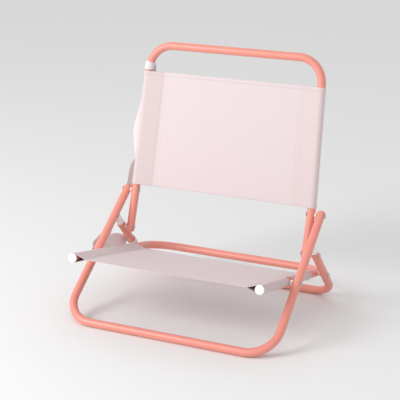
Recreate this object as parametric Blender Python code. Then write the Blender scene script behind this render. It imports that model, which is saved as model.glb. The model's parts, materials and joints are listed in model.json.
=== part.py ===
"""Low folding camp chair: four bent tube frames pinned into a folding four-bar
linkage, a sling seat, a sling back and a shoulder strap for carrying it.

+Z is up, the sitter faces -Y and the floor is z = 0.  All lengths are metres.
Side-view points are (y, z) pairs; left is -X and right is +X.
"""
import math

import bmesh
import bpy
from mathutils import Matrix, Vector

# ---- driving dimensions ------------------------------------------------------
TUBE_RADIUS = 0.0095
TUBE_WALL = 0.0012
TUBE_SIDES = 20
BORE_SIDES = TUBE_SIDES // 2
OUTER_HALF_WIDTH = 0.248        # outer tube centres at the back and rear-leg pivots
FRONT_FLOOR_HALF_WIDTH = 0.253  # the front legs splay to this at the floor
REAR_FLOOR_HALF_WIDTH = 0.2515  # and the rear legs to this
BACK_TOP_HALF_WIDTH = 0.2162    # the back narrows to this at the top bar
LINK_GAP = 0.0043               # between an outer tube and the inner tube beside it
CLEARANCE = 0.0003              # between pieces that touch
FLOOR_BAR_REACH = 0.1995        # front floor bar's centre ahead of the chair's middle

FRONT_LEG_ANGLE = 36.4          # degrees above the floor
FRONT_LEG_BEND = 0.065
SEAT_PIVOT_REACH = 0.1895       # along the front leg, from the floor bar
BACK_PIVOT_REACH = 0.3746
FRONT_LEG_END = 0.006           # tube left above the back pivot

BACK_LOWER_ANGLE = 70.9
BACK_UPPER_ANGLE = 77.2
LOWER_LINK = 0.0887             # back pivot down to the rear-leg pivot
BACK_KINK_REACH = 0.013         # back pivot up to the slight bend
BACK_UPPER_LENGTH = 0.3394      # slight bend up to the top bar
BACK_LOWER_END = 0.0075         # tube left below the rear-leg pivot
BACK_TOP_BEND = 0.0585
BACK_KINK_BEND = 0.120

SEAT_SLOPE = 13.45              # degrees down towards the rear
SEAT_FRONT_REACH = 0.1612       # seat pivot to the face of the front cap
SEAT_LINK = 0.1891              # seat pivot to the rear-leg pivot
SEAT_REAR_REACH = 0.2525        # seat pivot to the rear crossbar
SEAT_BEND = 0.060

REAR_LEG_BEND = 0.050
REAR_LEG_END = 0.0155           # tube left above its upper pivot

RIVET_RADIUS = 0.0025
RIVET_HEAD_RADIUS = 0.0052
RIVET_HEAD_HEIGHT = 0.0024
INNER_HEAD_HEIGHT = 0.0013      # the rivets are flatter on the chair's inner side
SPACER_RADIUS = 0.0056

PLUG_STEM = 0.0025              # a plug's depth inside the tube
PLUG_HEIGHT = 0.0052            # its dome beyond the tube
CAP_THICKNESS = 0.0026
CAP_STEM = 0.010
CAP_LIP = 0.0011                # the cap's flange beyond the tube
CAP_EDGE = 0.0008               # bevel round the flange
SADDLE_RADIUS = 0.0091
SADDLE_STEM = 0.005
SADDLE_COLLAR = 0.003           # full-width band beside the tube's end
SADDLE_STEP = 0.0006            # bevel from the band to the rest
SADDLE_WRAP = 0.005             # front-leg centre to the saddle's tips

CLOTH = 0.0008                  # one layer of sling fabric
SLEEVE_CLEARANCE = 0.00035
BACK_SEAM_INSET = 0.045         # tube centre to the sleeve seam
BACK_SLING_FOOT = 0.002         # above the slight bend
BACK_SLING_HEIGHT = 0.2735
SEAT_SEAM_INSET = 0.030
SEAT_SLING_START = 0.0034       # behind the cap's face
SEAT_SLING_LENGTH = 0.298
SLEEVE_NOTCH = 0.022            # length of the cut-out round the seat pivot
SLEEVE_NOTCH_REACH = 0.0025     # the cut-out's inner edge inboard of the tube's centre
SLEEVE_NOTCH_BOX = 0.040        # width and height of the box that cuts it

STRAP_WIDTH = 0.034
STRAP_THICKNESS = 0.0016
STRAP_LOOP_WIDTH = 0.020        # the ends are folded narrower where they loop a tube
STRAP_LOOP_CLEARANCE = 0.0004   # round the tube
COLLAR_DROP = 0.0505            # below the top bar, at the upper loop's middle
LOWER_LOOP_REACH = 0.078        # below the link pivot, along the rear leg

# ---- derived places ----------------------------------------------------------
INNER_HALF_WIDTH = OUTER_HALF_WIDTH - 2 * TUBE_RADIUS - LINK_GAP


def direction(degrees):
    """Side-view unit vector (y, z) at an angle above +Y."""
    return Vector((math.cos(math.radians(degrees)), math.sin(math.radians(degrees))))


FLOOR_BAR = Vector((-FLOOR_BAR_REACH, TUBE_RADIUS))
LEG = direction(FRONT_LEG_ANGLE)
SEAT_PIVOT = FLOOR_BAR + LEG * SEAT_PIVOT_REACH
BACK_PIVOT = FLOOR_BAR + LEG * BACK_PIVOT_REACH
SEAT = direction(-SEAT_SLOPE)
SEAT_FACE = SEAT_PIVOT - SEAT * SEAT_FRONT_REACH
SEAT_REAR = SEAT_PIVOT + SEAT * SEAT_REAR_REACH
FOOT_PIVOT = SEAT_PIVOT + SEAT * SEAT_LINK
BACK_LOWER = direction(BACK_LOWER_ANGLE)
BACK_UPPER = direction(BACK_UPPER_ANGLE)
LINK_PIVOT = BACK_PIVOT - BACK_LOWER * LOWER_LINK
BACK_KINK = BACK_PIVOT + BACK_LOWER * BACK_KINK_REACH
BACK_TOP = BACK_KINK + BACK_UPPER * BACK_UPPER_LENGTH
REAR_LEG = (FOOT_PIVOT - LINK_PIVOT).normalized()
REAR_LEG_TOP = LINK_PIVOT - REAR_LEG * REAR_LEG_END
REAR_FOOT = FOOT_PIVOT + REAR_LEG * ((TUBE_RADIUS - FOOT_PIVOT[1]) / REAR_LEG[1])


def at(x, side_point):
    """World point from x and a side-view point."""
    return Vector((x, side_point[0], side_point[1]))


def half_width_at(point, near, near_half_width, far, far_half_width):
    """Half width of a splayed pair of tubes beside a point between two others."""
    along = (point - near).dot(far - near) / (far - near).length_squared
    return near_half_width + (far_half_width - near_half_width) * along


def front_half_width(point):
    ends = (BACK_PIVOT, OUTER_HALF_WIDTH, FLOOR_BAR, FRONT_FLOOR_HALF_WIDTH)
    return half_width_at(point, *ends)


def rear_half_width(point):
    ends = (LINK_PIVOT, OUTER_HALF_WIDTH, REAR_FOOT, REAR_FLOOR_HALF_WIDTH)
    return half_width_at(point, *ends)


def back_half_width(point):
    ends = (BACK_KINK, INNER_HALF_WIDTH, BACK_TOP, BACK_TOP_HALF_WIDTH)
    return half_width_at(point, *ends)


# ---- scene helpers -------------------------------------------------------------
def clear_scene():
    for thing in list(bpy.data.objects):
        bpy.data.objects.remove(thing)


def material(name, color, roughness, metallic=0.0):
    paint = bpy.data.materials.new(name)
    paint.use_nodes = True
    shader = paint.node_tree.nodes["Principled BSDF"]
    shader.inputs["Base Color"].default_value = (*color, 1.0)
    shader.inputs["Roughness"].default_value = roughness
    shader.inputs["Metallic"].default_value = metallic
    return paint


def body_empty(name, pivot, parent=None):
    """Empty on a body's joint axis; the body's pieces are its children."""
    empty = bpy.data.objects.new(name, None)
    bpy.context.collection.objects.link(empty)
    empty["pivot"] = at(0.0, pivot)
    empty.location = at(0.0, pivot)
    if parent:
        empty.parent = parent
        empty.location -= Vector(parent["pivot"])
    return empty


def piece(bm, name, body, paint, smooth_angle=35.0):
    """Turn a bmesh made in world coordinates into an object on its body's axis."""
    bmesh.ops.recalc_face_normals(bm, faces=bm.faces)
    mesh = bpy.data.meshes.new(name)
    bmesh.ops.translate(bm, verts=bm.verts, vec=-Vector(body["pivot"]))
    bm.to_mesh(mesh)
    bm.free()
    mesh.shade_smooth()
    mesh.set_sharp_from_angle(angle=math.radians(smooth_angle))
    mesh.materials.append(paint)
    thing = bpy.data.objects.new(name, mesh)
    bpy.context.collection.objects.link(thing)
    thing.parent = body
    return thing


def cut(thing, bm, name, body, paint):
    """Subtract a cutter, made in world coordinates, from a piece."""
    cutter = piece(bm, name, body, paint)
    cutter.hide_render = True
    cutter.display_type = "WIRE"
    boolean = thing.modifiers.new("cut_" + name, "BOOLEAN")
    boolean.operation = "DIFFERENCE"
    boolean.object = cutter


# ---- shape helpers ---------------------------------------------------------------
def rounded_path(corners, bends, step_degrees=10.0):
    """Points along a polyline whose inner corners are arcs of the given radii."""
    points = [corners[0]]
    for before, corner, after, bend in zip(corners, corners[1:], corners[2:], bends):
        inward = (before - corner).normalized()
        outward = (after - corner).normalized()
        turn = math.pi - inward.angle(outward)
        tangent = bend * math.tan(turn / 2)
        centre = corner + (inward + outward).normalized() * (bend / math.cos(turn / 2))
        first = corner + inward * tangent - centre
        axis = (-inward).cross(outward).normalized()
        steps = max(2, round(math.degrees(turn) / step_degrees))
        for i in range(steps + 1):
            spun = Matrix.Rotation(turn * i / steps, 3, axis) @ first
            points.append(centre + spun)
    points.append(corners[-1])
    return points


def sub_path(points, start, end):
    """The stretch of a path between two distances along it."""
    travelled, kept = 0.0, []
    for a, b in zip(points, points[1:]):
        length = (b - a).length
        if travelled <= start <= travelled + length:
            kept.append(a.lerp(b, (start - travelled) / length))
        elif kept:
            kept.append(a.copy())
        if travelled <= end <= travelled + length:
            kept.append(a.lerp(b, (end - travelled) / length))
            break
        travelled += length
    return kept


def path_frames(points):
    """A point, a normal and a binormal at each point of a path, without twist."""
    tangents = []
    for i in range(len(points)):
        a, b = points[max(i - 1, 0)], points[min(i + 1, len(points) - 1)]
        tangents.append((b - a).normalized())
    normal = tangents[0].orthogonal().normalized()
    frames = []
    for point, tangent in zip(points, tangents):
        normal = (normal - tangent * normal.dot(tangent)).normalized()
        frames.append((point, normal, tangent.cross(normal)))
    return frames


def ring(bm, frame, radius, sides):
    point, normal, binormal = frame
    verts = []
    for k in range(sides):
        angle = 2 * math.pi * k / sides
        spoke = normal * math.cos(angle) + binormal * math.sin(angle)
        verts.append(bm.verts.new(point + spoke * radius))
    return verts


def join_loops(bm, a, b):
    for k in range(len(a)):
        n = (k + 1) % len(a)
        bm.faces.new((a[k], a[n], b[n], b[k]))


def join_tube_end(bm, outside, inside):
    """Close the wall between an outer loop and a bore loop with half its sides."""
    count = len(outside)
    for k, corner in enumerate(inside):
        after = inside[(k + 1) % len(inside)]
        middle, far = outside[2 * k + 1], outside[(2 * k + 2) % count]
        bm.faces.new((outside[2 * k], middle, corner))
        bm.faces.new((middle, far, after, corner))


def hollow_tube(points, outer, bore):
    """Open-ended pipe along a path; its bore's flats touch the bore radius."""
    bm = bmesh.new()
    frames = path_frames(points)
    bore_corner = bore / math.cos(math.pi / BORE_SIDES)
    outside = [ring(bm, frame, outer, TUBE_SIDES) for frame in frames]
    inside = [ring(bm, frame, bore_corner, BORE_SIDES) for frame in frames]
    for rings in (outside, inside):
        for a, b in zip(rings, rings[1:]):
            join_loops(bm, a, b)
    join_tube_end(bm, outside[0], inside[0])
    join_tube_end(bm, outside[-1], inside[-1])
    return bm


def turned(profile, origin, axis, sides=12, closed=False):
    """Solid of revolution.  The profile is (distance along the axis, radius) pairs;
    a closed profile makes a ring, an open one starts and ends on the axis."""
    bm = bmesh.new()
    normal = axis.orthogonal().normalized()
    binormal = axis.cross(normal)
    loops = []
    for along, radius in profile:
        centre = origin + axis * along
        if radius < 1e-7:
            loops.append([bm.verts.new(centre)])
        else:
            loops.append(ring(bm, (centre, normal, binormal), radius, sides))
    pairs = list(zip(loops, loops[1:]))
    if closed:
        pairs.append((loops[-1], loops[0]))
    for a, b in pairs:
        if len(a) == len(b):
            join_loops(bm, a, b)
            continue
        tip, rim = (a, b) if len(a) == 1 else (b, a)
        for k in range(sides):
            bm.faces.new((tip[0], rim[k], rim[(k + 1) % sides]))
    return bm


def dome(start, height, radius, steps=3):
    """Profile of a low dome from its rim to its top."""
    arc = [math.pi / 2 * i / steps for i in range(steps + 1)]
    return [(start + height * math.sin(a), radius * math.cos(a)) for a in arc[:-1]] + [
        (start + height, 0.0)
    ]


# ---- frames ------------------------------------------------------------------------
def u_path(side_points, half_widths, bends):
    """A U-shaped path: up one side's points, across, and back down the other side."""
    stops = list(zip(side_points, half_widths))
    right = [at(width, point) for point, width in stops]
    left = [at(-width, point) for point, width in reversed(stops)]
    return rounded_path(right + left, bends + list(reversed(bends)))


FRONT_LEG_TIP = BACK_PIVOT + LEG * FRONT_LEG_END
FRONT_LEG_PATH = u_path(
    [FRONT_LEG_TIP, FLOOR_BAR],
    [front_half_width(FRONT_LEG_TIP), FRONT_FLOOR_HALF_WIDTH],
    [FRONT_LEG_BEND],
)
BACK_TIP = LINK_PIVOT - BACK_LOWER * BACK_LOWER_END
BACK_PATH = u_path(
    [BACK_TIP, BACK_KINK, BACK_TOP],
    [INNER_HALF_WIDTH, INNER_HALF_WIDTH, BACK_TOP_HALF_WIDTH],
    [BACK_KINK_BEND, BACK_TOP_BEND],
)
SEAT_PATH = u_path(
    [SEAT_FACE + SEAT * (CAP_THICKNESS + CLEARANCE), SEAT_REAR],
    [INNER_HALF_WIDTH, INNER_HALF_WIDTH],
    [SEAT_BEND],
)
REAR_LEG_PATH = u_path(
    [REAR_LEG_TOP, REAR_FOOT],
    [rear_half_width(REAR_LEG_TOP), REAR_FLOOR_HALF_WIDTH],
    [REAR_LEG_BEND],
)


def tube_end(path, side):
    """A U's open end on one side: its centre and the direction out of it."""
    tip, inside = (path[0], path[1]) if side > 0 else (path[-1], path[-2])
    return tip, (tip - inside).normalized()


def frame(name, path, pivots, body, paint):
    """A bent tube with a rivet hole through both sides at each pivot."""
    tube = piece(
        hollow_tube(path, TUBE_RADIUS, TUBE_RADIUS - TUBE_WALL), name, body, paint
    )
    reach = OUTER_HALF_WIDTH + 3 * TUBE_RADIUS
    hole = RIVET_RADIUS + CLEARANCE
    for number, pivot in enumerate(pivots, 1):
        drill = turned(
            [(-reach, 0.0), (-reach, hole), (reach, hole), (reach, 0.0)],
            at(0.0, pivot),
            Vector((1.0, 0.0, 0.0)),
            sides=12,
        )
        cut(tube, drill, f"{name}_drill_{number}", body, paint)
    return tube


def end_plug(name, path, side, body, paint):
    """Push-in plug with a low domed head that closes a tube's open end."""
    tip, along = tube_end(path, side)
    stem = TUBE_RADIUS - TUBE_WALL - CLEARANCE
    profile = [(-PLUG_STEM, 0.0), (-PLUG_STEM, stem), (CLEARANCE, stem)]
    profile += dome(CLEARANCE, PLUG_HEIGHT, TUBE_RADIUS)
    return piece(turned(profile, tip, along, sides=TUBE_SIDES), name, body, paint)


def seat_cap(name, side, body, paint):
    """White cap with a flange slightly wider than the tube, at the seat's front."""
    stem = TUBE_RADIUS - TUBE_WALL - CLEARANCE
    flange = TUBE_RADIUS + CAP_LIP
    profile = [(-CAP_STEM, 0.0), (-CAP_STEM, stem), (0.0, stem)]
    profile += [(0.0, flange), (CAP_THICKNESS - CAP_EDGE, flange)]
    profile += [(CAP_THICKNESS, flange - CAP_EDGE), (CAP_THICKNESS, 0.0)]
    tip = at(side * INNER_HALF_WIDTH, SEAT_FACE + SEAT * CAP_THICKNESS)
    along = at(0.0, -SEAT)
    return piece(turned(profile, tip, along, sides=TUBE_SIDES), name, body, paint)


# ---- pivots --------------------------------------------------------------------------
INNER_FACE = INNER_HALF_WIDTH - TUBE_RADIUS - CLEARANCE
GAP_INNER = INNER_HALF_WIDTH + TUBE_RADIUS + CLEARANCE
STUD_END = INNER_HALF_WIDTH + TUBE_RADIUS


def head(x, outward, height):
    """Rivet head profile, from its top on the axis down to the shank."""
    rim_to_top = dome(0.0, height, RIVET_HEAD_RADIUS)
    top_to_rim = [(x + outward * along, radius) for along, radius in reversed(rim_to_top)]
    return top_to_rim + [(x, RIVET_RADIUS)]


def rivet(name, side, pivot, outer_half_width, body, paint, ends=("outer", "inner")):
    """Rivet along X through an outer and an inner tube.  With one end named, it is
    the half with that head, and stops flat in the gap between the tubes."""
    profile = [(STUD_END, 0.0), (STUD_END, RIVET_RADIUS)]
    if "outer" in ends:
        profile = head(outer_half_width + TUBE_RADIUS + CLEARANCE, 1, RIVET_HEAD_HEIGHT)
    if "inner" in ends:
        profile += list(reversed(head(INNER_FACE, -1, INNER_HEAD_HEIGHT)))
    else:
        profile += [(GAP_INNER, RIVET_RADIUS), (GAP_INNER, 0.0)]
    axis = Vector((side, 0.0, 0.0))
    return piece(turned(profile, at(0.0, pivot), axis), name, body, paint)


def spacer(name, side, pivot, outer_half_width, body, paint):
    """Round nylon spacer that keeps two crossing tubes apart."""
    hole = RIVET_RADIUS + CLEARANCE
    gap_outer = outer_half_width - TUBE_RADIUS - CLEARANCE
    profile = [
        (GAP_INNER, hole),
        (GAP_INNER, SPACER_RADIUS),
        (gap_outer, SPACER_RADIUS),
        (gap_outer, hole),
    ]
    axis = Vector((side, 0.0, 0.0))
    bm = turned(profile, at(0.0, pivot), axis, closed=True)
    return piece(bm, name, body, paint)


# ---- slings ----------------------------------------------------------------------------
SLEEVE_STEPS = 14


def sleeve_loops(bm, side, half_width, seam_inset, place):
    """Outer and inner outlines of one sleeve, from the seam round the tube and back."""
    inner_radius = TUBE_RADIUS + SLEEVE_CLEARANCE
    outer_radius = inner_radius + CLOTH
    loops = []
    for radius, lift in ((outer_radius, CLOTH), (inner_radius, 0.0)):
        start = math.acos(radius / seam_inset)
        loop = []
        for i in range(SLEEVE_STEPS + 1):
            angle = start + (2 * math.pi - 2 * start) * i / SLEEVE_STEPS
            x = side * (half_width - radius * math.cos(angle))
            loop.append(bm.verts.new(place(x, radius * math.sin(angle))))
        seam_x = side * (half_width - seam_inset)
        if lift:
            loop.insert(0, bm.verts.new(place(seam_x, lift)))
            loop.append(bm.verts.new(place(seam_x, -lift)))
        else:
            apex = bm.verts.new(place(seam_x, 0.0))
            loop = [apex] + loop + [apex]
        loops.append(loop)
    return loops


def sling(name, start, along, length, half_width, taper, seam_inset, body, paint):
    """One panel of cloth whose sides are sewn into sleeves round the side tubes."""
    across = at(0.0, (-along[1], along[0]))

    def place(x, height):
        return at(x, start) + across * height

    bm = bmesh.new()
    faces, rims = [], {}
    for side in (-1, 1):
        outer, inner = sleeve_loops(bm, side, half_width, seam_inset, place)
        for k in range(len(outer) - 1):
            quad = [outer[k], outer[k + 1], inner[k + 1], inner[k]]
            faces.append(bm.faces.new([v for i, v in enumerate(quad) if v not in quad[:i]]))
        rims[side] = (outer[0], inner[0], outer[-1])
    left, right = rims[-1], rims[1]
    faces.append(bm.faces.new((left[0], right[0], right[1], right[2], left[2], left[1])))
    bmesh.ops.recalc_face_normals(bm, faces=bm.faces)
    made = bmesh.ops.extrude_face_region(bm, geom=faces)["geom"]
    for vert in made:
        if isinstance(vert, bmesh.types.BMVert):
            vert.co += at(-math.copysign(taper, vert.co.x), along * length)
    return piece(bm, name, body, paint)


def notch_sleeves(cloth, body, paint):
    """Cut the seat's sleeves away where its pivots pass through the tube."""
    for side in (-1, 1):
        bm = bmesh.new()
        bmesh.ops.create_cube(bm, size=1.0)
        size = Vector((SLEEVE_NOTCH_BOX, SLEEVE_NOTCH, SLEEVE_NOTCH_BOX))
        bmesh.ops.scale(bm, verts=bm.verts, vec=size)
        turn = Matrix.Rotation(-math.radians(SEAT_SLOPE), 3, "X")
        bmesh.ops.rotate(bm, verts=bm.verts, matrix=turn)
        inner_edge = INNER_HALF_WIDTH - SLEEVE_NOTCH_REACH
        centre = at(side * (inner_edge + SLEEVE_NOTCH_BOX / 2), SEAT_PIVOT)
        bmesh.ops.translate(bm, verts=bm.verts, vec=centre)
        cut(cloth, bm, f"sleeve_notch_{'left' if side < 0 else 'right'}", body, paint)


# ---- carrying strap -----------------------------------------------------------------------
def strap_collar(name, path, middle, body, paint):
    """The strap's sewn end loop, wrapped round a tube."""
    stretch = sub_path(path, middle - STRAP_LOOP_WIDTH / 2, middle + STRAP_LOOP_WIDTH / 2)
    bore = TUBE_RADIUS + STRAP_LOOP_CLEARANCE
    return piece(hollow_tube(stretch, bore + STRAP_THICKNESS, bore), name, body, paint)


def distance_along(path, point):
    """Distance along a path to the place nearest a point."""
    travelled, best = 0.0, (1e9, 0.0)
    for a, b in zip(path, path[1:]):
        edge = b - a
        t = min(max((point - a).dot(edge) / edge.length_squared, 0.0), 1.0)
        best = min(best, ((point - (a + edge * t)).length, travelled + edge.length * t))
        travelled += edge.length
    return best[1]


# Middle line of the strap, from behind the top of the left back tube, down outside the
# legs to a fold beside the seat, and back to the rear leg: x, y, z and the angle in
# degrees that its width is turned from level towards the side plane.
STRAP_ROUTE = (
    (-0.2180, 0.1850, 0.5270, 0),
    (-0.2205, 0.1825, 0.5000, 0),
    (-0.2226, 0.1735, 0.4560, 0),
    (-0.2285, 0.1650, 0.4190, 0),
    (-0.2400, 0.1545, 0.3690, 8),
    (-0.2426, 0.1495, 0.3360, 30),
    (-0.2450, 0.1410, 0.3030, 62),
    (-0.2500, 0.1345, 0.2780, 88),
    (-0.2567, 0.1355, 0.2360, 95),
    (-0.2635, 0.1200, 0.2130, 92),
    (-0.2640, 0.0890, 0.1905, 90),
    (-0.2650, 0.0523, 0.1599, 90),
    (-0.2670, 0.0250, 0.1360, 90),
    (-0.2690, -0.0030, 0.1225, 90),
    (-0.2685, -0.0200, 0.1190, 90),
    (-0.2660, -0.0235, 0.1180, 90),
    (-0.2635, -0.0190, 0.1178, 90),
    (-0.2630, 0.0150, 0.1165, 88),
    (-0.2635, 0.0480, 0.1130, 85),
    (-0.2640, 0.0800, 0.1060, 85),
    (-0.2640, 0.1080, 0.0950, 85),
)
STRAP_STEPS = 3                 # stretches between two points of the route


def strap_breadth(tangent, degrees, before):
    """Direction of the strap's width, kept in step with the row before it."""
    side_plane = tangent.cross(Vector((1.0, 0.0, 0.0)))
    if before and side_plane.length < 0.5:
        return (before - tangent * before.dot(tangent)).normalized()
    level = side_plane.cross(tangent).normalized()
    angle = math.radians(degrees)
    breadth = level * math.cos(angle) + side_plane.normalized() * math.sin(angle)
    return -breadth if before and breadth.dot(before) < 0.0 else breadth


def strap_band(name, body, paint):
    """Flat webbing between its two end loops, hanging outside the left legs."""
    count = STRAP_STEPS * (len(STRAP_ROUTE) - 1)
    rows = [smooth_point(STRAP_ROUTE, i / STRAP_STEPS) for i in range(count + 1)]
    points = [Vector(row[:3]) for row in rows]
    half, thick = STRAP_WIDTH / 2, STRAP_THICKNESS / 2
    corners = ((half, thick), (half, -thick), (-half, -thick), (-half, thick))
    bm = bmesh.new()
    loops, breadth = [], None
    for i, (point, row) in enumerate(zip(points, rows)):
        a, b = points[max(i - 1, 0)], points[min(i + 1, count)]
        tangent = (b - a).normalized()
        breadth = strap_breadth(tangent, row[3], breadth)
        outward = tangent.cross(breadth).normalized()
        loops.append([bm.verts.new(point + breadth * w + outward * t) for w, t in corners])
    for a, b in zip(loops, loops[1:]):
        join_loops(bm, a, b)
    bm.faces.new(loops[0])
    bm.faces.new(loops[-1])
    return piece(bm, name, body, paint)


def smooth_point(route, place):
    """Values of the Catmull-Rom curve through a route's rows of numbers."""
    i = min(int(place), len(route) - 2)
    t = place - i
    rows = [route[min(max(i + k, 0), len(route) - 1)] for k in (-1, 0, 1, 2)]
    return [
        0.5 * (
            2 * b
            + (c - a) * t
            + (2 * a - 5 * b + 4 * c - d) * t**2
            + (3 * b - 3 * c + d - a) * t**3
        )
        for a, b, c, d in zip(*rows)
    ]


# ---- saddles ---------------------------------------------------------------------------------
def saddle(name, side, body, paint):
    """Moulded rest on a rear leg's top end that props against the front leg."""
    tip, along = tube_end(REAR_LEG_PATH, side)
    leg_normal = Vector((-LEG[1], LEG[0]))
    reach = abs((REAR_LEG_TOP - FLOOR_BAR).dot(leg_normal) / REAR_LEG.dot(leg_normal))
    stem = TUBE_RADIUS - TUBE_WALL - CLEARANCE
    profile = [
        (-SADDLE_STEM, 0.0),
        (-SADDLE_STEM, stem),
        (CLEARANCE, stem),
        (CLEARANCE, TUBE_RADIUS),
        (SADDLE_COLLAR, TUBE_RADIUS),
        (SADDLE_COLLAR + SADDLE_STEP, SADDLE_RADIUS),
        (reach - SADDLE_WRAP, SADDLE_RADIUS),
        (reach - SADDLE_WRAP, 0.0),
    ]
    rest = piece(turned(profile, tip, along, sides=TUBE_SIDES), name, body, paint)
    contact = REAR_LEG_TOP - REAR_LEG * reach
    half_length, radius = 2 * TUBE_RADIUS, TUBE_RADIUS + CLEARANCE
    leg_shape = turned(
        [(-half_length, 0.0), (-half_length, radius), (half_length, radius), (half_length, 0.0)],
        at(side * front_half_width(contact), contact),
        tube_end(FRONT_LEG_PATH, side)[1],
        sides=32,
    )
    cut(rest, leg_shape, f"{name}_groove", body, paint)
    return rest


# ---- assembly -----------------------------------------------------------------------------------
SIDES = (("left", -1), ("right", 1))


def build():
    clear_scene()
    coral = material("coral_paint", (0.80, 0.27, 0.20), 0.35)
    coral_plastic = material("coral_plastic", (0.78, 0.26, 0.20), 0.45)
    white = material("white_plastic", (0.86, 0.86, 0.85), 0.4)
    steel = material("rivet_steel", (0.70, 0.70, 0.70), 0.3, 1.0)
    back_cloth = material("back_cloth", (0.86, 0.72, 0.72), 0.85)
    seat_cloth = material("seat_cloth", (0.80, 0.68, 0.68), 0.85)
    webbing = material("strap_webbing", (0.78, 0.70, 0.70), 0.9)

    front = body_empty("front_legs", FLOOR_BAR)
    back = body_empty("back", BACK_PIVOT, front)
    seat = body_empty("seat", SEAT_PIVOT, front)
    rear = body_empty("rear_legs", LINK_PIVOT, back)

    frame("front_leg_frame", FRONT_LEG_PATH, [SEAT_PIVOT, BACK_PIVOT], front, coral)
    frame("back_frame", BACK_PATH, [BACK_PIVOT, LINK_PIVOT], back, coral)
    frame("seat_frame", SEAT_PATH, [SEAT_PIVOT, FOOT_PIVOT], seat, coral)
    frame("rear_leg_frame", REAR_LEG_PATH, [LINK_PIVOT, FOOT_PIVOT], rear, coral)

    for word, side in SIDES:
        end_plug(f"front_leg_plug_{word}", FRONT_LEG_PATH, side, front, coral_plastic)
        end_plug(f"back_frame_plug_{word}", BACK_PATH, side, back, coral_plastic)
        seat_cap(f"seat_cap_{word}", side, seat, white)
        saddle(f"leg_saddle_{word}", side, rear, white)
        for label, pivot, outer, body in (
            ("back_pivot", BACK_PIVOT, front_half_width(BACK_PIVOT), front),
            ("seat_pivot", SEAT_PIVOT, front_half_width(SEAT_PIVOT), front),
            ("link_pivot", LINK_PIVOT, rear_half_width(LINK_PIVOT), back),
        ):
            rivet(f"{label}_rivet_{word}", side, pivot, outer, body, steel)
            spacer(f"{label}_spacer_{word}", side, pivot, outer, body, white)
        foot = (side, FOOT_PIVOT, rear_half_width(FOOT_PIVOT))
        rivet(f"foot_pivot_rivet_{word}", *foot, rear, steel, ("outer",))
        rivet(f"foot_pivot_stud_{word}", *foot, seat, steel, ("inner",))
        spacer(f"foot_pivot_spacer_{word}", *foot, rear, white)

    sling_foot = BACK_KINK + BACK_UPPER * BACK_SLING_FOOT
    sling_top = sling_foot + BACK_UPPER * BACK_SLING_HEIGHT
    foot_width, top_width = back_half_width(sling_foot), back_half_width(sling_top)
    sling(
        "back_sling", sling_foot, BACK_UPPER, BACK_SLING_HEIGHT,
        foot_width, foot_width - top_width, BACK_SEAM_INSET, back, back_cloth,
    )
    cloth = sling(
        "seat_sling", SEAT_FACE + SEAT * SEAT_SLING_START, SEAT, SEAT_SLING_LENGTH,
        INNER_HALF_WIDTH, 0.0, SEAT_SEAM_INSET, seat, seat_cloth,
    )
    notch_sleeves(cloth, seat, seat_cloth)

    collar_side = BACK_TOP - BACK_UPPER * COLLAR_DROP
    collar_point = at(-back_half_width(collar_side), collar_side)
    strap_collar(
        "strap_upper_loop", BACK_PATH, distance_along(BACK_PATH, collar_point), back, webbing
    )
    loop_side = LINK_PIVOT + REAR_LEG * LOWER_LOOP_REACH
    loop_point = at(-rear_half_width(loop_side), loop_side)
    strap_collar(
        "strap_lower_loop", REAR_LEG_PATH, distance_along(REAR_LEG_PATH, loop_point), rear, webbing
    )
    strap_band("carry_strap", back, webbing)


build()
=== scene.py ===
"""Looks of a low folding camp chair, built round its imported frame.

Metres, +Z up.  The sitter faces -Y, left is -X, and the floor is z = 0.  Side-view points
are (y, z) pairs.
"""
import json
import math

import bmesh
import bpy
import numpy as np
from mathutils import Matrix, Vector


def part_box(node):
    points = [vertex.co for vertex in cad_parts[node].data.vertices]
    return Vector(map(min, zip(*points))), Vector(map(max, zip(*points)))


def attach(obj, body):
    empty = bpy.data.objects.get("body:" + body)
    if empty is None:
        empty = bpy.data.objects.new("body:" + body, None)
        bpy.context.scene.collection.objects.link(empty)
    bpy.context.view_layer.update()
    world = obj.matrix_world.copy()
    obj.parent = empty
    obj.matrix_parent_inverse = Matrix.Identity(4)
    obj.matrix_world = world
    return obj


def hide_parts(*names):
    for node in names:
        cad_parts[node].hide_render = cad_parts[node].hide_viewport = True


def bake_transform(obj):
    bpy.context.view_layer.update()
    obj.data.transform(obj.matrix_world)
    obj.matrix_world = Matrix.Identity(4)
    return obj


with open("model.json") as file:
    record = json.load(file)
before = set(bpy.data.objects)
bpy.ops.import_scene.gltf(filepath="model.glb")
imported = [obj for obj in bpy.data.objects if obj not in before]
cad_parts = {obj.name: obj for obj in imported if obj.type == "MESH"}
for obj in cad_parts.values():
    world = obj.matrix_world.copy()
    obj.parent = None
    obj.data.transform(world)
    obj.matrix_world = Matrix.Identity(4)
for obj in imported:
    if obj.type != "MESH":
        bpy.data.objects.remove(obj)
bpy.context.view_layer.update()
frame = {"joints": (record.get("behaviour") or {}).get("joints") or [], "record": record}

# ---- camera and light ------------------------------------------------------------
CAMERA_AIM = Vector((0.0, -0.0129, 0.2699))
CAMERA_DISTANCE = 2.7842
CAMERA_AZIMUTH = 24.93          # degrees round the chair from straight ahead
CAMERA_ELEVATION = 17.78
CAMERA_LENS = 111.05            # millimetres, on a 36 mm sensor

FLOOR_SIZE = 40.0
WORLD_LIGHT = 0.78
KEY_PLACE = Vector((-1.75, -2.2, 1.75))
KEY_SIZE = 1.6
KEY_POWER = 56.0

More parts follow.
